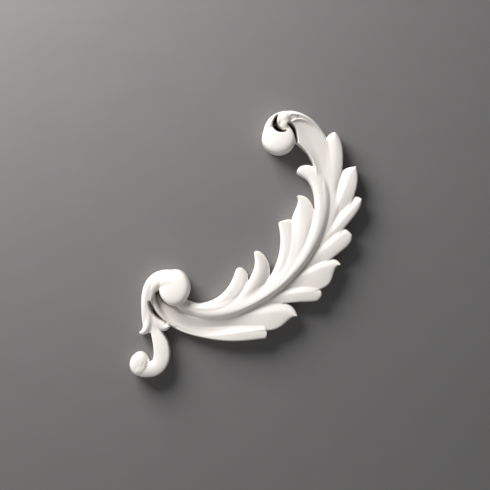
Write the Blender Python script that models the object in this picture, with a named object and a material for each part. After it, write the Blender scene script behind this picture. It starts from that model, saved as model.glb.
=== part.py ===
"""A cast plaster ornament for a wall: one scroll of acanthus leaves between two ball volutes.

Everything is one casting with a flat back. X is to the right and Z up, both measured from the
mount point on the back under the midrib; the wall is the plane Y = 0 and the relief stands
towards -Y. The lengths below are millimetres and become metres where a mesh is made.
"""
import bmesh
import bpy
import numpy as np
from mathutils import Vector

MM = 0.001
NAME = "acanthus_scroll"

# Thickness of the casting under the relief, and heights of the relief above it
BASE = 5.0
SLOT_FLOOR = -3.0
CHANNEL = 1.0
EDGE = 10.5
ROOT = 3.5
LIT_EDGE = (3.0, 5.5, 8.0, 9.5)
FAR_EDGE = (3.0, 8.0, 11.5, 11.0)
LOW_CREST = 11.0
CREST = 12.5
RIB_CREST = 14.8
BALL_RISE = 8.0
TOP_BALL_CREST = 20.5
LOW_BALL_CREST = 22.0
TAIL_BALL_CREST = 15.0

# Balls seen from the front: centre, and half width and half height
TOP_BALL = ((-21.0, 111.8), (17.0, 16.5))
LOW_BALL = ((-125.5, -37.5), (15.5, 18.0))
TAIL_BALL = ((-161.2, -113.2), (9.2, 10.8))
BALL_FLATNESS = 6
BALL_DOME = 0.3

# How finely a form is lofted: sections along it, their crowding towards the tip, the share of the
# spine they reach and the places across a flank. BEHIND is how far a form passes the wall plane
# before it is trimmed, a little more for each next one.
STATIONS = 13
CROWDING = 1.5
TIP = 0.99
ACROSS = (1.0, 0.8, 0.42)
BEHIND = 2.0
BEHIND_STEP = 0.11
FOOT_INSET = 0.4
ABOVE = 35.0
TRIM_BOX = ((-180.0, 80.0), (-40.0, 0.0), (-150.0, 150.0))

# Flanks of a form from its crest (0) to its edge (1): the power of the run and of the fall
ROUND = (2.0, 0.5)
DOME = (2.0, 1.0)
SLOPE = (1.0, 1.0)
SHOULDER = (1.4, 0.9)
FLAT_TOP = (3.0, 0.7)


def clear_scene():
    for item in list(bpy.data.objects):
        bpy.data.objects.remove(item, do_unlink=True)


def new_collection(name):
    found = bpy.data.collections.new(name)
    bpy.context.scene.collection.children.link(found)
    return found


def plaster():
    """White primed plaster, satin."""
    made = bpy.data.materials.new("white_plaster")
    made.use_nodes = True
    shader = made.node_tree.nodes["Principled BSDF"]
    shader.inputs["Base Color"].default_value = (0.86, 0.84, 0.81, 1.0)
    shader.inputs["Roughness"].default_value = 0.45
    shader.inputs["Metallic"].default_value = 0.0
    return made


def cubic(points, count=200):
    """Points along one cubic curve with four control points."""
    p = np.array(points, float)
    t = np.linspace(0.0, 1.0, count)[:, None]
    u = 1.0 - t
    return u**3 * p[0] + 3.0 * t * u**2 * p[1] + 3.0 * t**2 * u * p[2] + t**3 * p[3]


def along(values, share):
    """A smooth run through values that are evenly spaced along a form."""
    v = np.atleast_1d(np.array(values, float))
    if len(v) == 1:
        return float(v[0])
    last = len(v) - 1
    place = share * last
    i = min(int(place), last - 1)
    t = place - i
    slope = np.gradient(v)
    start = (2 * t**3 - 3 * t**2 + 1) * v[i] + (t**3 - 2 * t**2 + t) * slope[i]
    end = (3 * t**2 - 2 * t**3) * v[i + 1] + (t**3 - t**2) * slope[i + 1]
    return float(start + end)


def closing(share, shape):
    """How much of a form's width is left near its tip."""
    power, root = shape
    return max(1.0 - share**power, 0.0) ** root


def flank(run, shape):
    power, root = shape
    return max(1.0 - run**power, 0.0) ** root


def stations(line):
    """Shares, places and directions along a line, closer together near the tip."""
    steps = np.hypot(*np.diff(line, axis=0).T)
    travelled = np.concatenate([[0.0], np.cumsum(steps)])
    even = np.linspace(0.0, 1.0, STATIONS)
    shares = TIP * (1.0 - (1.0 - even) ** CROWDING)
    found = []
    for share in shares:
        length = share * travelled[-1]
        x = np.interp(length, travelled, line[:, 0])
        z = np.interp(length, travelled, line[:, 1])
        i = int(np.clip(np.searchsorted(travelled, length), 1, len(line) - 1))
        run = line[i] - line[i - 1]
        run = run / np.hypot(*run)
        found.append((share, (x, z), (-run[1], run[0])))
    return found


def close_loft(name, rings, into):
    """Joins rings of equal length into one closed body with flat ends."""
    body = bmesh.new()
    loops = [[body.verts.new(Vector(point) * MM) for point in ring] for ring in rings]
    count = len(loops[0])
    for lower, upper in zip(loops[:-1], loops[1:]):
        for i in range(count):
            j = (i + 1) % count
            body.faces.new((lower[i], lower[j], upper[j], upper[i]))
    body.faces.new(loops[0])
    body.faces.new(reversed(loops[-1]))
    bmesh.ops.triangulate(body, faces=body.faces[:])
    bmesh.ops.recalc_face_normals(body, faces=body.faces[:])
    mesh = bpy.data.meshes.new(name)
    body.to_mesh(mesh)
    body.free()
    made = bpy.data.objects.new(name, mesh)
    into.objects.link(made)
    return made


def form(name, into, spine, left, right, crest, at=0.0, edge=EDGE, left_edge=None, right_edge=None,
         left_flank=DOME, right_flank=DOME, end=(20.0, 0.5), right_end=None, back=None):
    """One leaf, rib or band lofted along its spine.

    left and right are its half widths along the spine, crest its height, and at the place of
    the crest across it, from 1 on the left edge to -1 on the right one. back is where its rear
    face lies, behind the wall plane unless the form is a cutter.
    """
    left_edge = edge if left_edge is None else left_edge
    right_edge = edge if right_edge is None else right_edge
    right_end = end if right_end is None else right_end
    if back is None:
        back = BEHIND + BEHIND_STEP * len(into.objects)
    rings = []
    for share, (x, z), (nx, nz) in stations(cubic(spine)):
        wide_left = along(left, share) * closing(share, end)
        wide_right = along(right, share) * closing(share, right_end)
        top = along(crest, share)
        low_left = along(left_edge, share)
        low_right = along(right_edge, share)
        centre = along(at, share)
        across = [(centre + (1 - centre) * run, low_left + (top - low_left) * flank(run, left_flank))
                  for run in ACROSS]
        across.append((centre, top))
        across += [(centre - (1 + centre) * run, low_right + (top - low_right) * flank(run, right_flank))
                   for run in reversed(ACROSS)]
        ring = []
        for place, height in across:
            off = place * (wide_left if place > 0 else wide_right)
            ring.append((x + nx * off, -BASE - height, z + nz * off))
        ring.append((x - nx * wide_right, back, z - nz * wide_right))
        ring.append((x + nx * wide_left, back, z + nz * wide_left))
        rings.append(ring)
    return close_loft(name, rings, into)


def ball(name, into, place, crest, rings=12, segments=28):
    """A flattened ball that stands on a round foot."""
    (x, z), (half_width, half_height) = place
    foot_top = BASE + crest - BALL_RISE
    behind = BEHIND + BEHIND_STEP * len(into.objects)
    bpy.ops.mesh.primitive_uv_sphere_add(segments=segments, ring_count=rings, radius=1.0,
                                         location=Vector((x, -foot_top, z)) * MM)
    made = bpy.context.object
    made.name = name
    made.scale = Vector((half_width, BALL_RISE, half_height)) * MM
    for vertex in made.data.vertices:
        out = min(np.hypot(vertex.co.x, vertex.co.z), 1.0)
        side = (1.0 - out**BALL_FLATNESS) ** 0.5
        vertex.co.y = np.copysign(BALL_DOME * (1.0 - out**2) + (1.0 - BALL_DOME) * side, vertex.co.y)
    bpy.ops.mesh.primitive_cylinder_add(vertices=segments, radius=1.0, depth=1.0,
                                        location=Vector((x, (behind - foot_top) / 2, z)) * MM,
                                        rotation=(np.pi / 2, 0.0, 0.0))
    foot = bpy.context.object
    foot.name = name + "_foot"
    foot.scale = Vector((half_width - FOOT_INSET, half_height - FOOT_INSET, behind + foot_top)) * MM
    for item in (made, foot):
        for old in list(item.users_collection):
            old.objects.unlink(item)
        into.objects.link(item)
    return made


def join_meshes(name, items):
    """All bodies of a list in one mesh, still overlapping."""
    bpy.context.view_layer.update()
    together = bmesh.new()
    for item in items:
        part = item.data.copy()
        part.transform(item.matrix_world)
        together.from_mesh(part)
        bpy.data.meshes.remove(part)
    bmesh.ops.triangulate(together, faces=together.faces[:])
    mesh = bpy.data.meshes.new(name)
    together.to_mesh(mesh)
    together.free()
    return bpy.data.objects.new(name, mesh)


def as_cutter(item):
    item.hide_render = True
    item.display_type = "WIRE"


def outer_leaves(into):
    """Eight leaves on the outside of the scroll, from the top stem round to the foot."""
    form("outer_leaf_1", into, ((28, 28), (33, 60), (35, 90), (34.5, 117.5)),
         (4, 8, 12, 12), (4, 6, 9, 9), (ROOT, 9.8, 12, 11.5), at=0.0,
         left_edge=(3, 9, 11, 10.5), right_edge=(3, 8, 10.5, 10), end=(14, 0.6), right_end=(8, 0.6))
    form("outer_leaf_2", into, ((22, 5), (35, 32), (49, 56), (56, 83.4)),
         (4, 8, 12, 14), (5, 7, 8, 8), (ROOT, 8.5, CREST, 12), at=0.3, left_edge=LIT_EDGE,
         right_edge=FAR_EDGE, left_flank=SHOULDER, end=(20, 1), right_end=(7, 1))
    form("outer_leaf_3", into, ((5, -18), (25, 10), (45, 34), (61.7, 50.5)),
         (4, 6, 8, 9), (4, 6, 6.5, 5.5), (ROOT, 9, CREST, 12), at=0.0, left_edge=LIT_EDGE,
         right_edge=FAR_EDGE, left_flank=SHOULDER, end=(30, 0.5), right_end=(16, 1))
    form("outer_leaf_4", into, ((-10, -33), (15, -12), (35, 3), (51.6, 15)),
         (5, 8, 12, 13), (4, 6.5, 7, 6.5), (ROOT, 8.5, CREST, 12), at=0.3, left_edge=LIT_EDGE,
         right_edge=FAR_EDGE, end=(30, 0.5), right_end=(18, 0.8))
    form("outer_leaf_5", into, ((-38, -50), (-2, -30), (22, -17), (40.7, -14.8)),
         (4, 6, 9, 9), (5, 12, 17.5, 17), (ROOT, 8.5, CREST, 12), at=0.1, left_edge=LIT_EDGE,
         right_edge=FAR_EDGE, end=(20, 0.8), right_end=(16, 5))
    form("outer_leaf_6", into, ((-55, -59), (-28, -47), (0, -42), (21.6, -44.3)),
         (4, 6, 9, 9), (4, 5.5, 7.5, 8), (ROOT, 9, CREST, 12), at=0.2, left_edge=LIT_EDGE,
         right_edge=FAR_EDGE, left_flank=SHOULDER, end=(25, 0.6), right_end=(25, 0.7))
    form("outer_leaf_7", into, ((-88, -72), (-50, -69), (-25, -63), (-2.7, -66.3)),
         (4, 8, 13, 14), (5, 10, 15, 15.5), (ROOT, 9.5, CREST, 12), at=0.2, left_edge=LIT_EDGE,
         right_edge=FAR_EDGE, end=(12, 0.8), right_end=(10, 3))
    form("outer_leaf_8", into, ((-131, -68), (-110, -84), (-75, -85), (-33.3, -83.5)),
         (3, 7, 10, 12), (6.2, 6.2, 7, 4.5), (3, 7.6, 11, CREST), at=(-0.8, -0.7, 0.1, 0.45),
         left_edge=(3, 9.3, 8, 8.5), right_edge=(3, 7.4, 10.3, 11.5), left_flank=SLOPE, end=(25, 0.5),
         right_end=(60, 0.5))


def inner_leaves(into):
    """Leaves on the inside of the scroll, from the foot up to the hooked one."""
    form("inner_leaf_1", into, ((-118, -56), (-83, -64), (-64, -42), (-60, -17.8)),
         (6, 6, 5, 4), (1, 7, 13, 14), (10, 12.5, 13, 12), at=0.2, left_edge=(8, 9, 9, 9),
         right_edge=(9, 10.5, 11, 11), end=(40, 0.5), right_end=(8, 0.5))
    form("inner_leaf_2", into, ((-88, -64), (-45, -52), (-30, -20), (-45, -1.5)),
         (4, 6, 8, 3), (1, 6, 11, 10), (10, 13, 14, 12), at=0.2, left_edge=(8, 9, 9.5, 9),
         right_edge=(9, 10, 9.5, 9.5), end=(30, 0.5), right_end=(5, 0.5))
    form("inner_leaf_3", into, ((-55, -56), (-17, -33), (-9, 0), (-20.5, 28)),
         (4, 5, 4.5, 1.5), (2, 7, 13, 14), (10, 13, 13, 11), at=0.2, left_edge=(8, 9.5, 9.5, 9.5),
         right_edge=10, end=(60, 0.5))
    form("inner_leaf_4", into, ((-50, -55), (2, -26), (17, 22), (-3, 54)),
         (4, 8, 14.5, 12), (5, 6, 8, 14), (11, 14, 13.5, 10), at=0.1, left_edge=(8, 9.5, 9.5, 9),
         right_edge=(10.5, 11.5, 8.5, 9), end=(20, 4), right_end=(14, 0.7))


def midrib(into):
    """The apron the outer leaves grow from, and the rib beside it that ends in a hooked leaf."""
    form("apron_low", into, ((-137, -51), (-127, -81), (-68, -83), (-17, -38)),
         (6, 12, 11, 8), (5, 9, 12, 14), (1, 6.8, 8, 9), at=-0.6, left_edge=(2, 8.4, 9, 8.6),
         right_edge=(1, 5, 5, 5),
         left_flank=SLOPE, end=(30, 0.5))
    form("apron_high", into, ((-38, -54), (0, -28), (40, 20), (27, 82)),
         (6, 6, 6), (13, 14, 9), (9, 9.2, 9.5, 9), at=-0.6, left_edge=(8.2, 8.4, 8.6, 8.6),
         right_edge=(5, 5, 7), left_flank=SLOPE, end=(30, 0.5))
    form("rib", into, ((-126, -50), (-79, -80), (-15, -50), (12, 12)),
         (7, 11, 11, 10, 9, 9, 8), (4, 9.8, 8.8, 5, 5.1, 7, 9.5), (11, 14.5, 15.3, 14.3), at=-0.1,
         left_edge=11, right_edge=(4, 5.5, 7.5, 7.5), right_flank=FLAT_TOP, end=(10, 0.5))
    form("hooked_leaf", into, ((-38, -52), (28, -12), (34, 83), (-2.8, 78)),
         (5, 7, 6, 4.7, 7.5), (1, 3, 8, 10.8, 12), (11, 14.5, RIB_CREST, 13.5, LOW_CREST),
         at=(-0.1, -0.1, -0.1, 0, 0.1), left_edge=(10, 10, 10, 9, 9), right_edge=(7, 7, 8.5, 9.5, 9),
         left_flank=ROUND, right_flank=FLAT_TOP, end=(14, 0.5), right_end=(12, 0.5))


def top_volute(into):
    """The stem that curls over into the upper ball, and the small leaf in its eye."""
    form("stem", into, ((27, 35), (26, 78), (22, 118), (-18, 130)),
         (4, 7, 8.5, 13, 14), (6, 6.5, 9, 12.4, 13, 10.5, 4), (8, 10, 12, 15.5, 20),
         left_edge=(8, 9.5, 11.5, 14, 17), right_edge=(8, 10, 11.6, 14, 18), end=(60, 0.5))
    form("stem_rim", into, ((27, 109.5), (19, 123), (7, 135), (-11, 134.8)),
         (0.8, 2, 2.2, 2.5), (0.8, 3, 3.5, 3.5), (10, 15, 18.5, 21), edge=(8, 12, 15, 17), end=(90, 0.5))
    form("crown", into, ((-8, 134.7), (-24, 135.5), (-32.5, 128), (-32, 112)),
         (4, 4.5, 6), (3.5, 4, 5.5), (21, 21, 15), edge=(15, 15, 12))
    form("stem_fillet", into, ((18, 117), (11, 128), (0, 134), (-9, 127)),
         (1.2, 1.8, 1.8, 1.5), (1.2, 1.8, 1.8, 1.5), (11.5, 14.5, 18, 20), edge=(10, 12, 15, 17))
    ball("top_ball", into, TOP_BALL, TOP_BALL_CREST)
    form("eye_leaf", into, ((-15, 134), (-16, 129), (-18, 124), (-14.5, 119)),
         (7, 7, 4.5), (7, 7, 6.5), (21, 22, 21), edge=19, end=(6, 0.6))


def low_volute(into):
    """The lower ball, the band round it, the small flared cup under it and the curled tail."""
    form("channel", into, ((-146, -34), (-149, -56), (-140, -66), (-120, -68)),
         (8, 13, 13), (5, 6, 7), CHANNEL, edge=CHANNEL)
    form("cup_rim", into, ((-125, -77), (-150, -62), (-155, -34), (-135, -31)),
         (2, 3.2, 2.6, 2.8, 3), (2, 2.6, 3), (7.5, 10.5, 12.5, 13.5), edge=7, end=(8, 0.5))
    form("outer_band", into, ((-125, -26), (-153, -18), (-162, -50), (-146, -82)),
         (12, 9, 6, 11), (5, 5, 5, 11), (16, 17, 13, 11), left_edge=(15.5, 16.8, 12.6, 10.5), right_edge=11)
    ball("low_ball", into, LOW_BALL, LOW_BALL_CREST)
    form("ball_shoulder", into, ((-126, -33), (-138, -25), (-147, -29), (-151, -42)),
         (6, 8, 5), (6, 5, 4), (17, 19.5, 14), edge=(15, 15.5, 12))
    form("left_flare", into, ((-151, -62), (-151, -76), (-153, -82), (-160.5, -83)),
         (5, 5, 3), (4, 4, 3), (8, 11, 11), edge=(7, 9, 9), end=(5, 0.5))
    form("right_flare", into, ((-146, -62), (-142, -76), (-137, -80), (-131, -76)),
         (4, 6, 5), (5, 5, 4), (8, 11, 11), edge=(7, 9, 9), end=(5, 0.5))
    form("tail", into, ((-145, -72), (-137, -95), (-130, -126), (-162, -120)),
         (2.5, 3.5, 7, 7.6, 7, 6.5, 5), (7, 8, 8, 7), (10, 11.5, 12, 13), edge=(9, 10.7, 11, 11))
    ball("tail_ball", into, TAIL_BALL, TAIL_BALL_CREST, rings=10, segments=20)


def slots(into):
    """The crescent round the eye leaf, the gap beside the top ball and the slit by the cup."""
    form("crescent", into, ((-22.5, 133.5), (-28, 128), (-26, 117), (-13.5, 119)),
         (1.4, 3.2, 1.7), (1.4, 2.8, 1.7), ABOVE, edge=ABOVE, back=-BASE - SLOT_FLOOR)
    form("ball_gap", into, ((-11, 124.5), (-7, 122.5), (-4.5, 116), (-4, 107)),
         (1.8, 2.0, 1.4, 1.2), (1.8, 2.0, 1.4, 1.2), ABOVE, edge=ABOVE, back=-BASE - SLOT_FLOOR)
    form("slit", into, ((-150.2, -52), (-149, -61), (-142, -69), (-134.5, -71.5)),
         (1.4, 2.2, 1.6), (1.4, 2.2, 1.6), ABOVE, edge=ABOVE, back=-BASE - SLOT_FLOOR)


def build():
    clear_scene()
    finished = new_collection("plaster_scroll")
    forms = new_collection("forms")
    cutters = new_collection("cutters")

    midrib(forms)
    outer_leaves(forms)
    inner_leaves(forms)
    top_volute(forms)
    low_volute(forms)
    relief = join_meshes("all_forms", forms.objects)
    for item in list(forms.objects):
        bpy.data.objects.remove(item, do_unlink=True)
    cutters.objects.link(relief)
    as_cutter(relief)

    (x_low, x_high), (y_low, y_high), (z_low, z_high) = TRIM_BOX
    centre = Vector(((x_low + x_high) / 2, (y_low + y_high) / 2, (z_low + z_high) / 2))
    bpy.ops.mesh.primitive_cube_add(size=1.0, location=centre * MM)
    scroll = bpy.context.object
    scroll.name = NAME
    size = Vector((x_high - x_low, y_high - y_low, z_high - z_low)) * MM
    scroll.data.transform(scroll.matrix_world)
    scroll.location = (0.0, 0.0, 0.0)
    for vertex in scroll.data.vertices:
        offset = vertex.co - centre * MM
        vertex.co = centre * MM + Vector((offset.x * size.x, offset.y * size.y, offset.z * size.z))
    for old in list(scroll.users_collection):
        old.objects.unlink(scroll)
    finished.objects.link(scroll)
    join = scroll.modifiers.new("join_and_trim", "BOOLEAN")
    join.operation = "INTERSECT"
    join.solver = "EXACT"
    join.object = relief
    join.use_self = True

    slots(cutters)
    for cutter in cutters.objects:
        as_cutter(cutter)
        if cutter is not relief:
            cut = scroll.modifiers.new(cutter.name, "BOOLEAN")
            cut.operation = "DIFFERENCE"
            cut.solver = "EXACT"
            cut.object = cutter
    scroll.data.materials.append(plaster())


build()
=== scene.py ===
"""Looks of a cast plaster scroll of acanthus leaves, fixed flat on a plain wall."""
import math
import bpy
import numpy as np
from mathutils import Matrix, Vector


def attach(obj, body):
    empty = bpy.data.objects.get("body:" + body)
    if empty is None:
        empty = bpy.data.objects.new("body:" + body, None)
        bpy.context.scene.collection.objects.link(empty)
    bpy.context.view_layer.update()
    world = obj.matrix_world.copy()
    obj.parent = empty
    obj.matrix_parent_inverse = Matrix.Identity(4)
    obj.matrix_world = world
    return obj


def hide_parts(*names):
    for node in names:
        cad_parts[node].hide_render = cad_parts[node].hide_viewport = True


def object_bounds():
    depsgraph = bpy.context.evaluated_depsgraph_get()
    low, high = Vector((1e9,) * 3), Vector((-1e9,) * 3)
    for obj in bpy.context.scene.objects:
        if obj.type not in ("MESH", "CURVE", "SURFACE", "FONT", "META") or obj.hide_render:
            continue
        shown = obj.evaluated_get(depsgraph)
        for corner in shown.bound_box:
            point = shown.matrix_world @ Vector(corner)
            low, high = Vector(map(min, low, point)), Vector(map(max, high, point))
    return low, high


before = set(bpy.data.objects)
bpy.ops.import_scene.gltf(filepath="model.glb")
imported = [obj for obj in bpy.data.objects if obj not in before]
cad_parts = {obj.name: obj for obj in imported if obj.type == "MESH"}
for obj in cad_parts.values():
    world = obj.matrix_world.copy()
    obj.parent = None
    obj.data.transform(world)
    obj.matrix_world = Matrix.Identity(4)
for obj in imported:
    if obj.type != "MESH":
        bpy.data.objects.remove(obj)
cad_low, cad_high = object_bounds()
scene = bpy.context.scene

# Scroll
# One casting of white plaster with its leaves in relief, about 17 mm thick and 27 mm at the lower
# ball. It comes out of a mould, is thinly painted, and is glued to the wall by its flat back.

# The front is a height field. Each leaf, rib, band and ball gives a height and a distance to its
# own edge, in millimetres from the mount point: x to the right, z up, height towards the room.
# The highest one shows, and neighbours melt together over a short blend.
MM = 0.001

# Heights over BASE, which is the thickness that every form stands on. Edges are given from the
# root to the tip: the lit side of a leaf stays lower than its far side.
BASE = 5.0
ROOT = 3.5
EDGE = 10.5
LIT_EDGE = (3.0, 5.5, 8.0, 9.5)
FAR_EDGE = (3.0, 8.0, 11.5, 11.0)
LOW_CREST = 11.0
CREST = 12.5
RIB_CREST = 14.8
TOP_BALL_CREST = 20.5
LOW_BALL_CREST = 21.2
TAIL_BALL_CREST = 15.0
CHANNEL = 3.0
SLOT_FLOOR = -3.0

# A ball rises this much over its foot: a steep round side, and a share of it as a shallow dome
BALL_RISE = 6.5
BALL_FLATNESS = 7
BALL_DOME = 0.28

# Flanks from the crest (0) to the edge (1): the power of the run and the power of the fall
ROUND = (2.0, 0.5)
DOME = (2.0, 1.0)
SLOPE = (1.0, 1.0)
SHOULDER = (1.4, 0.9)
FLAT_TOP = (3.0, 0.7)
HOLLOW = (1.0, 1.9)
FADE = (2.0, 2.0)
SIDE = (2.2, 0.85)

# A form is worked out no farther than this beyond its widest place
OUTSIDE = 6.0
THINNEST = 1e-4


def cubic(points, count=90):
    """Points along one cubic curve with four control points."""
    p = np.array(points, float)
    t = np.linspace(0.0, 1.0, count)[:, None]
    u = 1.0 - t
    return u**3 * p[0] + 3.0 * t * u**2 * p[1] + 3.0 * t**2 * u * p[2] + t**3 * p[3]


def nearest(line, x, z):
    """Share along a line of its nearest point, and the distance to it, positive on its left."""
    steps = np.hypot(*np.diff(line, axis=0).T)
    shares = np.concatenate([[0.0], np.cumsum(steps)]) / steps.sum()
    best = np.full(x.shape, np.inf)
    share = np.zeros(x.shape)
    side = np.zeros(x.shape)
    for start, end, low, high in zip(line[:-1], line[1:], shares[:-1], shares[1:]):
        run = end - start
        part = ((x - start[0]) * run[0] + (z - start[1]) * run[1]) / (run @ run)
        part = np.clip(part, 0.0, 1.0)
        dx = x - start[0] - part * run[0]
        dz = z - start[1] - part * run[1]
        distance = np.hypot(dx, dz)
        closer = distance < best
        best[closer] = distance[closer]
        share[closer] = (low + (high - low) * part)[closer]
        side[closer] = np.sign(run[0] * dz - run[1] * dx)[closer]
    return share, best * side


def along(values, share):
    """A smooth run through values that are evenly spaced along a form."""
    v = np.atleast_1d(np.array(values, float))
    if len(v) == 1:
        return np.full(np.shape(share), v[0])
    place = np.clip(share, 0.0, 1.0) * (len(v) - 1)
    i = np.minimum(place.astype(int), len(v) - 2)
    t = place - i
    slope = np.gradient(v)
    start = (2 * t**3 - 3 * t**2 + 1) * v[i] + (t**3 - 2 * t**2 + t) * slope[i]
    end = (3 * t**2 - 2 * t**3) * v[i + 1] + (t**3 - t**2) * slope[i + 1]
    return start + end


def fall(run, shape):
    """A fall from 1 to 0 over a run from 0 to 1, in one of the flank shapes."""
    power, root = shape
    return np.maximum(1.0 - np.clip(run, 0.0, 1.0) ** power, 0.0) ** root


def form(spine, left, right, crest, at=0.0, edge=EDGE, left_edge=None, right_edge=None,
         left_flank=DOME, right_flank=DOME, end=(20.0, 0.5), right_end=None, blend=1.0, cut=False):
    """One leaf, rib, band or cut along a spine from root to tip, as a function of x and z.

    left and right are its half widths, crest its heights and at the crest's place across it, from
    -1 at the right edge to 1 at the left. end says how the widths close at the tip.
    """
    line = cubic(spine)
    left_edge = edge if left_edge is None else left_edge
    right_edge = edge if right_edge is None else right_edge
    right_end = end if right_end is None else right_end
    reach = max(np.max(left), np.max(right)) + OUTSIDE

    def field(x, z):
        share, distance = nearest(line, x, z)
        wide_left = np.maximum(along(left, share) * fall(share, end), THINNEST)
        wide_right = np.maximum(along(right, share) * fall(share, right_end), THINNEST)
        wide = np.where(distance > 0, wide_left, wide_right)
        across = distance / wide
        centre = along(at, share)
        top = along(crest, share)
        low_left = along(left_edge, share)
        low_right = along(right_edge, share)
        on_left = low_left + (top - low_left) * fall((across - centre) / (1 - centre), left_flank)
        on_right = low_right + (top - low_right) * fall((centre - across) / (1 + centre), right_flank)
        return wide - np.abs(distance), BASE + np.where(across > centre, on_left, on_right), distance

    return {"field": field, "low": line.min(0) - reach, "high": line.max(0) + reach,
            "blend": blend, "cut": cut}


def ball(centre, radii, crest, lean=(0.0, 0.0), blend=2.0):
    """A flattened ball on a round foot; it rises towards the side that it leans to."""
    reach = max(radii) + OUTSIDE

    def field(x, z):
        out = np.hypot((x - centre[0]) / radii[0], (z - centre[1]) / radii[1])
        side = np.sqrt(np.maximum(1.0 - out**BALL_FLATNESS, 0.0))
        profile = BALL_DOME * (1.0 - out**2) + (1.0 - BALL_DOME) * side
        height = crest - BALL_RISE * (1.0 - profile)
        height = height + lean[0] * (x - centre[0]) / radii[0] + lean[1] * (z - centre[1]) / radii[1]
        return (1.0 - out) * min(radii), BASE + height, out * min(radii)

    middle = np.array(centre, float)
    return {"field": field, "low": middle - reach, "high": middle + reach, "blend": blend, "cut": False}


# Every form gives the four control points of its spine, then widths and heights that are evenly
# spaced from its root to its tip. A cut goes through the forms that are listed before it.

# The body and the rib that everything grows from
MIDRIB = (
    # Lower body, under the rib
    form(((-137, -51), (-127, -81), (-68, -83), (-17, -38)),
         (6, 12, 11, 8), (5, 11, 13, 14), (5.5, 9.6, 10.6, 9.6), at=(0.6, 0.3, 0.1, -0.2),
         left_edge=(5.5, 9.6, 10.6, 9), right_edge=(3, 5.8, 6.8, 6.5),
         right_flank=HOLLOW, end=(30, 0.5)),
    # Upper body, under the rib
    form(((-38, -54), (0, -28), (40, 20), (27, 82)),
         (6, 6, 6), (13, 14, 9), (9, 10.1, 10.9, 10.2), at=-0.2,
         left_edge=(8.4, 9.3, 10.3, 10), right_edge=(5, 5, 7), left_flank=SLOPE,
         right_flank=FLAT_TOP, end=(30, 0.5), blend=2.5),
    # Rib, lower half
    form(((-126, -50), (-79, -80), (-15, -50), (12, 12)),
         (5, 6.5, 9.5, 10, 9, 9, 8), (4, 9.8, 8.8, 5, 5.1, 7, 9.5), (11, 14.5, 15.2, 12), at=-0.1,
         left_edge=(11, 11, 11, 10), right_edge=(4, 5.5, 8.4, 10.2), right_flank=SIDE, end=(10, 0.5),
         blend=3.0),
    # Rib, upper half, which ends in the hooked leaf
    form(((-38, -52), (28, -12), (34, 83), (-2.8, 78)),
         (5, 7, 6, 4.7, 7.5), (1, 3, 8, 10.8, 12), (11, 14.5, RIB_CREST, 13.5, LOW_CREST),
         at=(-0.1, -0.1, -0.1, 0, 0.1), left_edge=(10, 10, 10, 9, 9), right_edge=(7.5, 9, 10, 10, 9),
         left_flank=ROUND, right_flank=SIDE, end=(14, 0.5), right_end=(12, 0.5), blend=4.5),
)

# The leaves on the outer side, from the top down
OUTER_LEAVES = (
    # Highest leaf, beside the stem
    form(((28, 28), (33, 60), (35, 90), (34.5, 117.5)),
         (4, 8, 11, 11), (4, 6, 9, 9), (ROOT, 9.6, 11.8, 12.8), at=-0.1, left_flank=FADE,
         left_edge=(3, 8.5, 10.4, 11.5), right_edge=(3, 8, 10.5, 11), end=(14, 0.6), right_end=(8, 0.6),
         blend=1.5),
    # Second leaf
    form(((22, 5), (35, 32), (49, 56), (56, 83.4)),
         (4, 8, 12, 14), (5, 7, 8, 8), (ROOT, 8.5, CREST, 12), at=0.3, left_edge=LIT_EDGE,
         right_edge=FAR_EDGE, left_flank=SHOULDER, end=(20, 1), right_end=(7, 1), blend=2.5),
    # Third leaf
    form(((5, -18), (25, 10), (45, 34), (61.7, 50.5)),
         (4, 6, 8, 9), (4, 6, 6.5, 5.5), (ROOT, 9, CREST, 12), at=0.0, left_edge=LIT_EDGE,
         right_edge=FAR_EDGE, left_flank=SHOULDER, end=(30, 0.5), right_end=(16, 1), blend=2.5),
    # Fourth leaf
    form(((-10, -33), (15, -12), (35, 3), (51.6, 15)),
         (5, 8, 12, 13), (4, 6.5, 7, 6.5), (ROOT, 8.5, CREST, 12), at=0.3, left_edge=LIT_EDGE,
         right_edge=FAR_EDGE, end=(30, 0.5), right_end=(18, 0.8), blend=2.5),
    # Fifth leaf, at the turn
    form(((-38, -50), (-2, -30), (22, -17), (40.7, -14.8)),
         (4, 6, 9, 9), (5, 12, 17.5, 17), (ROOT, 8.5, CREST, 12), at=0.1, left_edge=LIT_EDGE,
         right_edge=FAR_EDGE, end=(20, 0.8), right_end=(16, 5), blend=2.5),
    # Sixth leaf
    form(((-55, -59), (-28, -47), (0, -42), (21.6, -44.3)),
         (4, 6, 9, 9), (4, 5.5, 7.5, 8), (ROOT, 9, CREST, 12), at=0.2, left_edge=LIT_EDGE,
         right_edge=FAR_EDGE, left_flank=SHOULDER, end=(25, 0.6), right_end=(25, 0.7), blend=2.5),
    # Seventh leaf, which ends in a point
    form(((-88, -72), (-50, -69), (-25, -63), (-2.7, -66.3)),
         (4, 8, 13, 14), (5, 10, 15, 15.5), (ROOT, 9.5, CREST, 12), at=0.2, left_edge=LIT_EDGE,
         right_edge=FAR_EDGE, end=(12, 0.8), right_end=(10, 3), blend=2.5),
    # Lowest leaf, the long blade at the foot
    form(((-131, -68), (-110, -84), (-75, -85), (-33.3, -83.5)),
         (3, 7, 10, 12), (6.2, 6.4, 7.2, 4.5), (3, 7.2, 10.8, CREST), at=(-0.8, -0.7, 0.1, 0.45),
         left_edge=(1, 4.2, 6.6, 8), right_edge=(3, 7.4, 10.3, 11.5), left_flank=SLOPE, end=(90, 0.5),
         right_end=(200, 0.5), blend=3.0),
)

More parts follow.
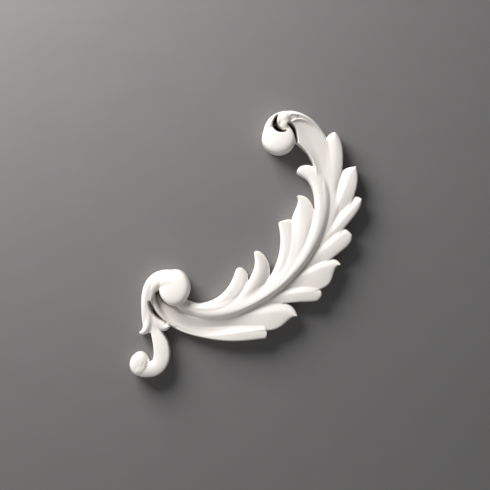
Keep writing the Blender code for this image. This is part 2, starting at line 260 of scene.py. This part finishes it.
# The leaves on the inner side, from the foot up
INNER_LEAVES = (
    # Lowest leaf, next to the lower ball
    form(((-118, -56), (-83, -64), (-64, -42), (-60, -17.8)),
         (3.5, 4, 4.2, 4), (1, 7, 13, 14), (10, 12.5, 13, 12), at=(0.2, -0.2, -0.45, -0.4),
         left_edge=(8, 10, 11.2, 10.6), right_edge=(9, 10.5, 11, 11), end=(40, 0.5), right_end=(8, 0.5),
         blend=3.0),
    # Second leaf
    form(((-88, -64), (-45, -52), (-30, -20), (-45, -1.5)),
         (4, 6, 8, 3), (1, 6, 11, 10), (10, 13, 14, 12), at=0.2, left_edge=(8, 11.4, 12.8, 11),
         right_edge=(9, 10, 9.2, 9.5), end=(30, 0.5), right_end=(5, 0.5), blend=3.0),
    # Third leaf, with a blunt end
    form(((-55, -56), (-17, -33), (-9, 0), (-20.5, 28)),
         (4, 5, 4.5, 1.5), (2, 7, 13, 14), (10, 13, 13, 11), at=-0.3, left_edge=(8, 10.7, 11.2, 10),
         right_edge=9.4, end=(60, 0.5), blend=3.0),
    # Highest leaf, with a pointed tip
    form(((-50, -55), (2, -26), (17, 22), (-3, 54)),
         (4, 8, 14.5, 12), (5, 6, 8, 14), (11, 14, 13.5, 10.5), at=0.15, left_edge=(8, 10, 10.8, 9.6),
         right_edge=(10.5, 12, 10, 9.6), end=(20, 4), right_end=(14, 0.7), blend=3.0),
)

# The stem, which curls over into the upper volute
TOP_VOLUTE = (
    # Stem, up from the rib to the crown
    form(((27, 35), (26, 78), (22, 118), (-18, 130)),
         (4, 7, 8.5, 13, 14), (6, 6.5, 9, 12.4, 13, 10.5, 4), (8, 10, 11.6, 14.5, 20),
         left_edge=(8, 10.6, 13.6, 16.8, 18), right_edge=(8, 9.4, 11, 12.8, 18), end=(60, 0.5), blend=1.0),
    # Outer rim of the crown
    form(((27, 109.5), (19, 123), (6.5, 136), (-11, 135)),
         (0.8, 2, 2.2, 2.5), (0.8, 2.0, 2.2, 3.2), (10, 15, 18.5, 20.5),
         edge=(8, 12, 15.5, 17), end=(90, 0.5)),
    # Curl from the crown over the ball
    form(((-8, 134.7), (-24, 135.5), (-32.5, 128), (-32, 112)),
         (6, 6.5, 6), (3.5, 4, 5.5), (19, 21.3, 15), left_edge=(18, 19.5, 13), right_edge=(15, 15, 12),
         blend=3.0),
    # Second line of the crown
    form(((20.5, 113), (12, 128), (0, 134), (-9, 127)),
         (1.2, 1.8, 1.8, 1.5), (1.2, 1.8, 1.8, 1.5), (12.5, 14.3, 17.6, 19.5),
         edge=(11, 12, 15, 17), blend=0.5),
    # Upper ball
    ball((-21.0, 111.8), (17.0, 16.5), TOP_BALL_CREST, lean=(0.4, -0.6), blend=1.0),
    # Crescent cut between the curl and the ball
    form(((-22.5, 133.5), (-28, 128), (-26, 117), (-13.5, 119)),
         (1.4, 3.2, 1.7), (1.4, 2.8, 1.7), SLOT_FLOOR, edge=SLOT_FLOOR, cut=True),
    # Small leaf in the eye
    form(((-16.2, 130.5), (-16, 129.5), (-15.6, 128), (-15, 126.5)),
         (7, 6.8), (7, 7), (21.8, 21.5), edge=(18.8, 17.5), end=(1, 0), blend=2.5),
    # Gap between the ball and the stem
    form(((-11, 125), (-6.5, 122.5), (-3.9, 116), (-3.5, 106)),
         (1.8, 2.0, 1.4, 1.2), (1.8, 2.0, 1.4, 1.2), SLOT_FLOOR, edge=SLOT_FLOOR, cut=True),
)

# The band and the ball at the foot
LOW_VOLUTE = (
    # Floor of the channel round the lower ball
    form(((-146, -34), (-149, -56), (-140, -66), (-120, -68)),
         (8, 13, 13), (5, 6, 7), CHANNEL, edge=CHANNEL),
    # Outer rim of the channel
    form(((-125, -77), (-150, -62), (-155, -34), (-135, -31)),
         (1.2, 2.8, 2.6, 2.8, 3), (1.2, 2.6, 3), (5, 9.5, 12.5, 13.5), edge=(4.5, 7, 7),
         end=(8, 0.5), blend=1.5),
    # Band round the ball
    form(((-125, -26), (-153, -18), (-162, -50), (-146, -82)),
         (12, 9, 6, 10), (5, 5, 5, 10), (16, 17, 13.4, 9.5),
         left_edge=(15.8, 16.9, 13, 8), right_edge=(11, 11, 11, 8), blend=3.0),
    # Slope from the rim down into the channel
    form(((-125, -77), (-150, -62), (-155, -34), (-135, -31)),
         1.0, (3, 8, 7, 5), (4, 8, 10.5, 11), at=0.9, edge=(2, 2, 3), left_edge=(4, 8, 10.5, 11),
         right_flank=HOLLOW, end=(20, 0.5), blend=2.0),
    # Lower ball
    ball((-125.5, -37.5), (15.5, 18.0), LOW_BALL_CREST, lean=(1.0, -1.2), blend=5.0),
    # End of the band, curled on the ball
    form(((-126, -33), (-136, -27), (-145, -31), (-148, -43)),
         (6, 7, 4), (7, 6, 5), (18.5, 19, 14), edge=(15, 15.5, 11), blend=3.0),
    # Bridge from the ball to the rib
    form(((-125, -47), (-120, -54), (-114, -59), (-104, -62)),
         (4, 4, 4), (4.5, 4.5, 4), (17.5, 16, 13.5, 10), edge=(15, 13, 10.5, 8), blend=3.0),
)

# The flared cup under the band, and the tail that hangs from it
CUP_AND_TAIL = (
    # Left lip of the cup
    form(((-151, -62), (-151, -76), (-153, -82), (-160.5, -83)),
         (5, 5, 3), (5, 5, 3), (10, 11.5, 11.5), edge=(7, 9, 9.5), end=(5, 0.5), blend=4.0),
    # Right lip of the cup
    form(((-146, -62), (-142, -76), (-137, -80), (-131, -76)),
         (4, 6, 5), (5, 5, 4), (10, 11.5, 11.5), edge=(7, 9, 9.5), end=(5, 0.5), blend=4.0),
    # Tail
    form(((-145, -72), (-137, -95), (-129, -126), (-163, -119.5)),
         (2.5, 3.5, 7, 7.8, 7.4, 6.9, 6.4), (7, 8, 8, 7), (10, 11.5, 12.5, 14.5),
         edge=(9, 10.7, 11, 12), end=(40, 0.5), blend=2.0),
    # Curl at the end of the tail
    ball((-160.8, -114.2), (9.4, 11.7), TAIL_BALL_CREST, blend=2.0),
    # Crease in the curl
    form(((-152.5, -106), (-155, -109), (-156.5, -114), (-157.5, -119)),
         (0.3, 0.6, 0.3), (0.3, 0.6, 0.3), 13, edge=13, cut=True),
    # Slit between the cup and the lowest leaf
    form(((-150.2, -52), (-149, -61), (-142, -69), (-131.5, -74)),
         (1.3, 2.1, 1.7, 0.5), (1.3, 2.1, 1.7, 0.5), SLOT_FLOOR, edge=SLOT_FLOOR, cut=True),
)

FORMS = MIDRIB + OUTER_LEAVES + INNER_LEAVES + TOP_VOLUTE + LOW_VOLUTE + CUP_AND_TAIL

# A cut's wall slopes over this width. A blend reaches its full width this deep inside a form.
# The last value keeps the brush lines of one form apart from those of the next.
SLOT_WALL = 1.3
BLEND_RUN = 4.0
LEAST_BLEND = 0.02
LINE_STEP = 40.0


def smooth_max(a, b, blend):
    """The higher of two heights, with a soft meeting where they are close."""
    share = np.clip(0.5 + 0.5 * (b - a) / blend, 0.0, 1.0)
    return a * (1 - share) + b * share + blend * share * (1 - share)


def relief(x, z):
    """Distance inside the outline, height above the wall and place across the form on top."""
    inside = np.full(x.shape, -1000.0)
    height = np.full(x.shape, 0.0)
    across = np.full(x.shape, 0.0)
    for number, item in enumerate(FORMS):
        low_x, low_z = item["low"]
        high_x, high_z = item["high"]
        near = (x > low_x) & (x < high_x) & (z > low_z) & (z < high_z)
        if not near.any():
            continue
        depth, level, aside = item["field"](x[near], z[near])
        covered = depth > 0
        before = height[near]
        after = before.copy()
        if item["cut"]:
            sunk = np.clip(depth / SLOT_WALL, 0.0, 1.0)
            sunk = sunk * sunk * (3.0 - 2.0 * sunk)
            after = np.minimum(before, before + (level - before) * sunk)
        else:
            blend = item["blend"] * np.clip(depth / BLEND_RUN, LEAST_BLEND, 1.0)
            after[covered] = smooth_max(before, level, blend)[covered]
            inside[near] = np.maximum(inside[near], depth)
            on_top = covered & (level > before)
            across[near] = np.where(on_top, aside + LINE_STEP * number, across[near])
        height[near] = after
    return inside, height, across


# The grid covers the relief with a margin, and its heights are blurred a little, as a mould and
# a coat of paint soften a casting.
GRID = 0.52
MARGIN = 3.0
SOFTNESS = 0.4


def blurred(values, sigma):
    """A Gaussian blur of a grid, sigma in cells."""
    reach = int(math.ceil(3 * sigma))
    steps = np.arange(-reach, reach + 1)
    weights = np.exp(-0.5 * (steps / sigma) ** 2)
    weights = weights / weights.sum()
    for axis in (0, 1):
        total = np.zeros_like(values)
        for step, weight in zip(steps, weights):
            total += weight * np.roll(values, step, axis=axis)
        values = total
    return values


def softened(values, covered, width):
    """A blur of the covered part of a grid alone, over a width in millimetres."""
    filled = blurred(covered.astype(float), width / GRID)
    return blurred(np.where(covered, values, 0.0), width / GRID) / np.maximum(filled, 1e-3)


low = np.array([cad_low.x, cad_low.z]) / MM - MARGIN
high = np.array([cad_high.x, cad_high.z]) / MM + MARGIN
grid_x, grid_z = np.meshgrid(np.arange(low[0], high[0], GRID), np.arange(low[1], high[1], GRID))
depth, height, aside = relief(grid_x, grid_z)
covered = depth > 0
height = softened(height, covered, SOFTNESS)

# Every point just outside the outline is pulled on to it in a few steps, so that the rim follows
# the true curve instead of the grid. It keeps a little inside the solid's own box.
PULLS = 4
PROBE = 0.05
LEAST_STEEP = 0.25
LONGEST_PULL = 1.5 * GRID
INSET = 0.02
near_rim = ~covered & (blurred(covered.astype(float), 1.0) > 1e-3)
rim_x = grid_x[near_rim]
rim_z = grid_z[near_rim]
for pull in range(PULLS):
    here = relief(rim_x, rim_z)[0]
    slope_x = (relief(rim_x + PROBE, rim_z)[0] - here) / PROBE
    slope_z = (relief(rim_x, rim_z + PROBE)[0] - here) / PROBE
    steep = np.maximum(slope_x**2 + slope_z**2, LEAST_STEEP)
    rim_x = rim_x - np.clip(here * slope_x / steep, -GRID, GRID)
    rim_z = rim_z - np.clip(here * slope_z / steep, -GRID, GRID)
place_x = grid_x.copy()
place_z = grid_z.copy()
shift = np.hypot(rim_x - grid_x[near_rim], rim_z - grid_z[near_rim])
held = np.minimum(1.0, LONGEST_PULL / np.maximum(shift, 1e-6))
place_x[near_rim] += (rim_x - grid_x[near_rim]) * held
place_z[near_rim] += (rim_z - grid_z[near_rim]) * held
place_x = np.clip(place_x, cad_low.x / MM + INSET, cad_high.x / MM - INSET)
place_z = np.clip(place_z, cad_low.z / MM + INSET, cad_high.z / MM - INSET)

# Masks for the paint, from 0 to 1: places that lie below their surroundings but not at the outer
# edge, where the paint carries painted shade, and places that stand above them or lie along that edge.
NEARBY = 2.0
DEEPEST = 4.0
PROUDEST = 1.2
RIM_CLEAR = 1.0
RIM_FADE = 3.0
WORN_RIM = 1.6
around = softened(height, covered, NEARBY)
off_rim = np.clip((depth - RIM_CLEAR) / RIM_FADE, 0.0, 1.0)
hollow = np.clip((around - height) / DEEPEST, 0.0, 1.0) * off_rim
raised = np.clip((height - around) / PROUDEST, 0.0, 1.0)
raised = np.maximum(raised, np.clip(1.0 - depth / WORN_RIM, 0.0, 1.0) * covered)

# The outer edge is rounded with this radius, over no more than this share of the height
EDGE_ROUND = 1.5
EDGE_SHARE = 0.55
curl = np.clip(1.0 - np.maximum(depth, 0.0) / EDGE_ROUND, 0.0, 1.0)
drop = EDGE_ROUND * (1.0 - np.sqrt(1.0 - curl**2))
height = height - np.minimum(drop, height * EDGE_SHARE)

CORNERS = ((0, 0), (0, 1), (1, 0), (1, 1))


def mark(grid, chosen):
    """Marks the four entries of a grid round each chosen place of a grid one smaller."""
    tall, wide = chosen.shape
    for down, right in CORNERS:
        grid[down:down + tall, right:right + wide] |= chosen


def nodes_of(chosen):
    """The grid points at the corners of the chosen cells."""
    found = np.zeros(grid_x.shape, bool)
    mark(found, chosen)
    return found


# The cells that touch the covered points. Where two meet only at a corner, all four are filled.
cells = covered[:-1, :-1] | covered[1:, :-1] | covered[:-1, 1:] | covered[1:, 1:]
pinched = True
while np.any(pinched):
    a, b, c, d = cells[:-1, :-1], cells[:-1, 1:], cells[1:, :-1], cells[1:, 1:]
    pinched = (a & d & ~b & ~c) | (b & c & ~a & ~d)
    mark(cells, pinched)

# The front is one quad a cell. The flat back has the same rim, but squares of BLOCK cells inside,
# and the wall between them has a few rings.
BLOCK = 4
WALL_RINGS = 3
BACK = WALL_RINGS + 1
columns = grid_x.shape[1]
tall, wide = (size // BLOCK for size in cells.shape)
whole = cells[:tall * BLOCK, :wide * BLOCK].reshape(tall, BLOCK, wide, BLOCK).all(axis=(1, 3))
fine = cells.copy()
fine[:tall * BLOCK, :wide * BLOCK] &= ~np.kron(whole, np.ones((BLOCK, BLOCK), bool))
kept = nodes_of(fine) | nodes_of(~cells)
kept[::BLOCK, ::BLOCK] = True
kept = kept.ravel()
node_x = place_x.ravel() * MM
node_y = -height.ravel() * MM
node_z = place_z.ravel() * MM
node_hollow = hollow.ravel()
node_raised = raised.ravel()
node_across = aside.ravel() * MM
points = []
hollow_shade_values = []
ridges = []
strokes = []
rings = [{} for ring in range(BACK + 1)]


def point(ring, node):
    """The number of a grid point on the front (0), down the rim, or on the back (BACK)."""
    if node not in rings[ring]:
        rings[ring][node] = len(points)
        points.append((node_x[node], node_y[node] * (1.0 - ring / BACK), node_z[node]))
        hollow_shade_values.append(node_hollow[node] if ring == 0 else 0.0)
        ridges.append(node_raised[node] if ring == 0 else 0.0)
        strokes.append(node_across[node])
    return rings[ring][node]


faces = []
for row, column in zip(*np.nonzero(cells)):
    node = int(row * columns + column)
    above = node + columns
    faces.append([point(0, item) for item in (node, node + 1, above + 1, above)])
    sides = (((-1, 0), node, node + 1), ((0, 1), node + 1, above + 1),
             ((1, 0), above + 1, above), ((0, -1), above, node))
    for (up, right), start, end in sides:
        if not cells[row + up, column + right]:
            for ring in range(BACK):
                faces.append([point(ring, end), point(ring, start),
                              point(ring + 1, start), point(ring + 1, end)])
for row, column in zip(*np.nonzero(fine)):
    node = int(row * columns + column)
    above = node + columns
    faces.append([point(BACK, item) for item in (node, above, above + 1, node + 1)])
for row, column in zip(*np.nonzero(whole)):
    node = int((row * columns + column) * BLOCK)
    far = node + BLOCK * (columns + 1)
    edge_nodes = [node + step * columns for step in range(BLOCK)]
    edge_nodes += [node + BLOCK * columns + step for step in range(BLOCK)]
    edge_nodes += [far - step * columns for step in range(BLOCK)]
    edge_nodes += [node + BLOCK - step for step in range(BLOCK)]
    faces.append([point(BACK, item) for item in edge_nodes if kept[item]])

SHARP_ANGLE = 70
scroll_mesh = bpy.data.meshes.new("acanthus_scroll_cast")
scroll_mesh.from_pydata(points, [], faces)
# The first mask carries the painted shade in the hollows; ridge marks wear on raised parts and edges.
for name, values in (("painted_hollow_shade", hollow_shade_values), ("ridge", ridges), ("across", strokes)):
    scroll_mesh.attributes.new(name, "FLOAT", "POINT").data.foreach_set("value", values)
scroll = bpy.data.objects.new("acanthus_scroll_cast", scroll_mesh)
scene.collection.objects.link(scroll)
scroll_mesh.shade_smooth()
scroll_mesh.set_sharp_from_angle(angle=math.radians(SHARP_ANGLE))


def link(tree, source, target):
    """Joins two sockets of a node tree."""
    tree.links.new(source, target)


def noise(tree, vector, scale, detail):
    """Soft noise at a place."""
    made = tree.nodes.new("ShaderNodeTexNoise")
    made.inputs["Scale"].default_value = scale
    made.inputs["Detail"].default_value = detail
    link(tree, vector, made.inputs["Vector"])
    return made.outputs["Fac"]


def spread(tree, value, low, high, first, last):
    """A value between low and high, spread over first to last and held at both ends."""
    made = tree.nodes.new("ShaderNodeMapRange")
    for name, number in (("From Min", low), ("From Max", high), ("To Min", first), ("To Max", last)):
        made.inputs[name].default_value = number
    link(tree, value, made.inputs["Value"])
    return made.outputs["Result"]


def combine(tree, kind, first, second):
    """A sum, difference or product of two values; each is a number or a socket."""
    made = tree.nodes.new("ShaderNodeMath")
    made.operation = kind
    for socket, value in zip(made.inputs, (first, second)):
        if isinstance(value, float):
            socket.default_value = value
        else:
            link(tree, value, socket)
    return made.outputs["Value"]


def tinted(tree, share, first, second):
    """A mix of two colours; each is a colour or a socket."""
    made = tree.nodes.new("ShaderNodeMix")
    made.data_type = "RGBA"
    link(tree, share, made.inputs["Factor"])
    for name, value in (("A", first), ("B", second)):
        socket = [item for item in made.inputs if item.name == name and item.type == "RGBA"][0]
        if isinstance(value, tuple):
            socket.default_value = value
        else:
            link(tree, value, socket)
    return [item for item in made.outputs if item.type == "RGBA"][0]


def bumped(tree, height, distance, strength, below=None):
    """Fine relief from a height, on top of the relief below it."""
    made = tree.nodes.new("ShaderNodeBump")
    made.inputs["Distance"].default_value = distance
    made.inputs["Strength"].default_value = strength
    link(tree, height, made.inputs["Height"])
    if below is not None:
        link(tree, below, made.inputs["Normal"])
    return made.outputs["Normal"]


def attribute(tree, name):
    """One of the masks that the mesh carries at its points."""
    made = tree.nodes.new("ShaderNodeAttribute")
    made.attribute_name = name
    return made.outputs["Fac"]


# One group gives the plaster, and later the wall and the floor, their grain: fine grain, broad
# patches and sparse pits, all as values from 0 to 1 at a scale that each material sets.
PATCH_SCALE = 0.035
PIT_SCALE = 0.28
PIT_GROUND_SCALE = 0.09
grain = bpy.data.node_groups.new("surface_grain", "ShaderNodeTree")
grain.interface.new_socket(name="Vector", in_out="INPUT", socket_type="NodeSocketVector")
grain.interface.new_socket(name="Scale", in_out="INPUT", socket_type="NodeSocketFloat")
for name in ("Fine", "Patches", "Pits"):
    grain.interface.new_socket(name=name, in_out="OUTPUT", socket_type="NodeSocketFloat")
given = grain.nodes.new("NodeGroupInput")
result = grain.nodes.new("NodeGroupOutput")
scaled = grain.nodes.new("ShaderNodeVectorMath")
scaled.operation = "SCALE"
link(grain, given.outputs["Vector"], scaled.inputs[0])
link(grain, given.outputs["Scale"], scaled.inputs["Scale"])
place = scaled.outputs["Vector"]
cell = grain.nodes.new("ShaderNodeTexVoronoi")
cell.inputs["Scale"].default_value = PIT_SCALE
link(grain, place, cell.inputs["Vector"])
pit = spread(grain, cell.outputs["Distance"], 0.05, 0.16, 1.0, 0.0)
pit_ground = spread(grain, noise(grain, place, PIT_GROUND_SCALE, 1.0), 0.60, 0.68, 0.0, 1.0)
patches = spread(grain, noise(grain, place, PATCH_SCALE, 3.0), 0.3, 0.7, 0.0, 1.0)
link(grain, noise(grain, place, 1.0, 4.0), result.inputs["Fine"])
link(grain, patches, result.inputs["Patches"])
link(grain, combine(grain, "MULTIPLY", pit, pit_ground), result.inputs["Pits"])


def grain_in(tree, scale):
    """The grain of one material, on its object's own coordinates."""
    made = tree.nodes.new("ShaderNodeGroup")
    made.node_tree = grain
    made.inputs["Scale"].default_value = scale
    link(tree, tree.nodes.new("ShaderNodeTexCoord").outputs["Object"], made.inputs["Vector"])
    return made


# A thin coat of white paint: painted shade in the hollows, warm grey to near black, a slight polish
# and wear on the edges, brush lines that run along each leaf, and a raw, pitted back that was never
# painted.
CLEAN = (0.90, 0.87, 0.83, 1.0)
# The next two colours are painted shade in the hollows: a warm grey, and near black for the deepest.
WARM_SHADE = (0.74, 0.68, 0.61, 1.0)
NEAR_BLACK_SHADE = (0.04, 0.03, 0.025, 1.0)
AGED = (0.88, 0.83, 0.77, 1.0)
RUBBED = (0.92, 0.89, 0.84, 1.0)
PITTED = (0.45, 0.41, 0.36, 1.0)
RAW = (0.62, 0.59, 0.55, 1.0)
WARM_SHADE_FROM = 0.35
RAW_FROM = -0.0009
RAW_TO = -0.0002
PLASTER_GRAIN = 1500.0
BRUSH_LINES = 900.0

plaster = bpy.data.materials.new("white_plaster")
plaster.use_nodes = True
coat = plaster.node_tree
shader = coat.nodes["Principled BSDF"]
cast = grain_in(coat, PLASTER_GRAIN)
# Mask for the painted shade in the hollows, and mask for wear on raised parts and edges.
shade_mask = attribute(coat, "painted_hollow_shade")
edge_wear = attribute(coat, "ridge")
axes = coat.nodes.new("ShaderNodeSeparateXYZ")
link(coat, coat.nodes.new("ShaderNodeTexCoord").outputs["Object"], axes.inputs["Vector"])
raw = spread(coat, axes.outputs["Y"], RAW_FROM, RAW_TO, 0.0, 1.0)

# Painted shade: the paint goes from clean white through warm grey to near black as a place lies deeper
# below its surroundings.
tint = coat.nodes.new("ShaderNodeValToRGB")
tint.color_ramp.elements[0].color = CLEAN
tint.color_ramp.elements[0].position = 0.0
tint.color_ramp.elements[1].color = NEAR_BLACK_SHADE
tint.color_ramp.elements[1].position = 1.0
tint.color_ramp.elements.new(WARM_SHADE_FROM).color = WARM_SHADE
link(coat, shade_mask, tint.inputs["Fac"])
aged = spread(coat, cast.outputs["Patches"], 0.0, 1.0, 0.0, 0.30)
rubbed = combine(coat, "MULTIPLY", edge_wear, spread(coat, cast.outputs["Fine"], 0.35, 0.65, 0.1, 0.55))
pitted = combine(coat, "MULTIPLY", cast.outputs["Pits"], 0.35)
colour = tinted(coat, aged, tint.outputs["Color"], AGED)
colour = tinted(coat, rubbed, colour, RUBBED)
colour = tinted(coat, pitted, colour, PITTED)
colour = tinted(coat, raw, colour, RAW)
link(coat, colour, shader.inputs["Base Color"])

rough = spread(coat, cast.outputs["Patches"], 0.0, 1.0, 0.40, 0.50)
rough = combine(coat, "ADD", rough, combine(coat, "MULTIPLY", shade_mask, 0.35))
rough = combine(coat, "SUBTRACT", rough, combine(coat, "MULTIPLY", edge_wear, 0.05))
rough = combine(coat, "ADD", rough, combine(coat, "MULTIPLY", raw, 0.40))
link(coat, rough, shader.inputs["Roughness"])

line = coat.nodes.new("ShaderNodeCombineXYZ")
link(coat, attribute(coat, "across"), line.inputs["X"])
brush = noise(coat, line.outputs["Vector"], BRUSH_LINES, 2.0)
pit_depth = combine(coat, "MULTIPLY", cast.outputs["Pits"], -1.5)
normal = bumped(coat, cast.outputs["Patches"], 0.0006, 0.25)
normal = bumped(coat, brush, 0.0002, 0.35, normal)
normal = bumped(coat, combine(coat, "ADD", cast.outputs["Fine"], pit_depth), 0.00012, 0.45, normal)
link(coat, normal, shader.inputs["Normal"])
scroll_mesh.materials.append(plaster)

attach(scroll, "root")
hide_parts("acanthus_scroll")

# Wall
# A plain wall with grey rolled paint, just behind the casting's back. It is clear from behind,
# so that the back of the casting isn't hidden in views from there.
PLANE_SIZE = 6.0
WALL_GAP = 0.0004
WALL_MIDDLE = 1.2
WALL_GREY = (0.169, 0.167, 0.168, 1.0)
WALL_DEEPER_GREY = (0.164, 0.162, 0.163, 1.0)
bpy.ops.mesh.primitive_plane_add(size=PLANE_SIZE, location=(0.0, WALL_GAP, WALL_MIDDLE),
                                 rotation=(math.radians(90), 0, 0))
wall = bpy.context.object
wall.name = "wall"
wall_paint = bpy.data.materials.new("wall_paint")
wall_paint.use_nodes = True
rolled = wall_paint.node_tree
paint = rolled.nodes["Principled BSDF"]
roller = grain_in(rolled, 700.0)
wall_tone = tinted(rolled, roller.outputs["Patches"], WALL_GREY, WALL_DEEPER_GREY)
link(rolled, wall_tone, paint.inputs["Base Color"])
link(rolled, spread(rolled, roller.outputs["Fine"], 0.3, 0.7, 0.70, 0.80), paint.inputs["Roughness"])
link(rolled, bumped(rolled, roller.outputs["Fine"], 0.0002, 0.15), paint.inputs["Normal"])
facing = rolled.nodes.new("ShaderNodeNewGeometry")
clear = rolled.nodes.new("ShaderNodeBsdfTransparent")
either = rolled.nodes.new("ShaderNodeMixShader")
link(rolled, facing.outputs["Backfacing"], either.inputs["Fac"])
link(rolled, paint.outputs["BSDF"], either.inputs[1])
link(rolled, clear.outputs["BSDF"], either.inputs[2])
link(rolled, either.outputs["Shader"], rolled.nodes["Material Output"].inputs["Surface"])
wall.data.materials.append(wall_paint)

# Floor
# A pale painted floor below the picture, which sends a little light back up to the casting.
FLOOR_HEIGHT = -0.7
FLOOR_PALE = (0.61, 0.60, 0.59, 1.0)
FLOOR_WORN = (0.58, 0.57, 0.56, 1.0)
bpy.ops.mesh.primitive_plane_add(size=PLANE_SIZE, location=(0.0, 0.0, FLOOR_HEIGHT))
floor = bpy.context.object
floor.name = "floor"
floor_paint = bpy.data.materials.new("floor_paint")
floor_paint.use_nodes = True
ground = floor_paint.node_tree
floor_shader = ground.nodes["Principled BSDF"]
dust = grain_in(ground, 300.0)
floor_tone = tinted(ground, dust.outputs["Patches"], FLOOR_PALE, FLOOR_WORN)
link(ground, floor_tone, floor_shader.inputs["Base Color"])
link(ground, spread(ground, dust.outputs["Fine"], 0.3, 0.7, 0.75, 0.85), floor_shader.inputs["Roughness"])
floor.data.materials.append(floor_paint)

# Light
# A round lamp at the upper left, about 28 degrees off the wall, throws the shadows to the lower
# right. The room itself gives a weak and slightly cool light.
KEY_PLACE = Vector((-0.645, -0.51, 0.765))
KEY_AIM = Vector((-0.055, 0.0, 0.005))
KEY_SIZE = 0.8
KEY_POWER = 22.5
KEY_COLOUR = (1.0, 0.985, 0.97)
ROOM_COLOUR = (0.96, 0.98, 1.0, 1.0)
ROOM_STRENGTH = 0.13
lamp = bpy.data.lights.new("key", "AREA")
lamp.shape = "DISK"
lamp.size = KEY_SIZE
lamp.energy = KEY_POWER
lamp.color = KEY_COLOUR
key = bpy.data.objects.new("key", lamp)
scene.collection.objects.link(key)
key.location = KEY_PLACE
key.rotation_euler = (KEY_AIM - KEY_PLACE).to_track_quat("-Z", "Y").to_euler()

world = bpy.data.worlds.new("room")
world.use_nodes = True
world.node_tree.nodes["Background"].inputs["Color"].default_value = ROOM_COLOUR
world.node_tree.nodes["Background"].inputs["Strength"].default_value = ROOM_STRENGTH
scene.world = world

# Camera
# It looks straight at the wall, from as far as a frame of this width and field asks.
VIEW_CENTRE = Vector((-0.055, -0.013, 0.005))
FRAME_WIDTH = 0.490
FIELD = math.radians(28.0)
camera_data = bpy.data.cameras.new("camera")
camera_data.angle = FIELD
camera = bpy.data.objects.new("camera", camera_data)
scene.collection.objects.link(camera)
camera.location = VIEW_CENTRE + Vector((0.0, -FRAME_WIDTH / 2 / math.tan(FIELD / 2), 0.0))
camera.rotation_euler = (math.radians(90), 0.0, 0.0)
scene.camera = camera
scene.view_settings.view_transform = "Standard"
scene.view_settings.look = "None"
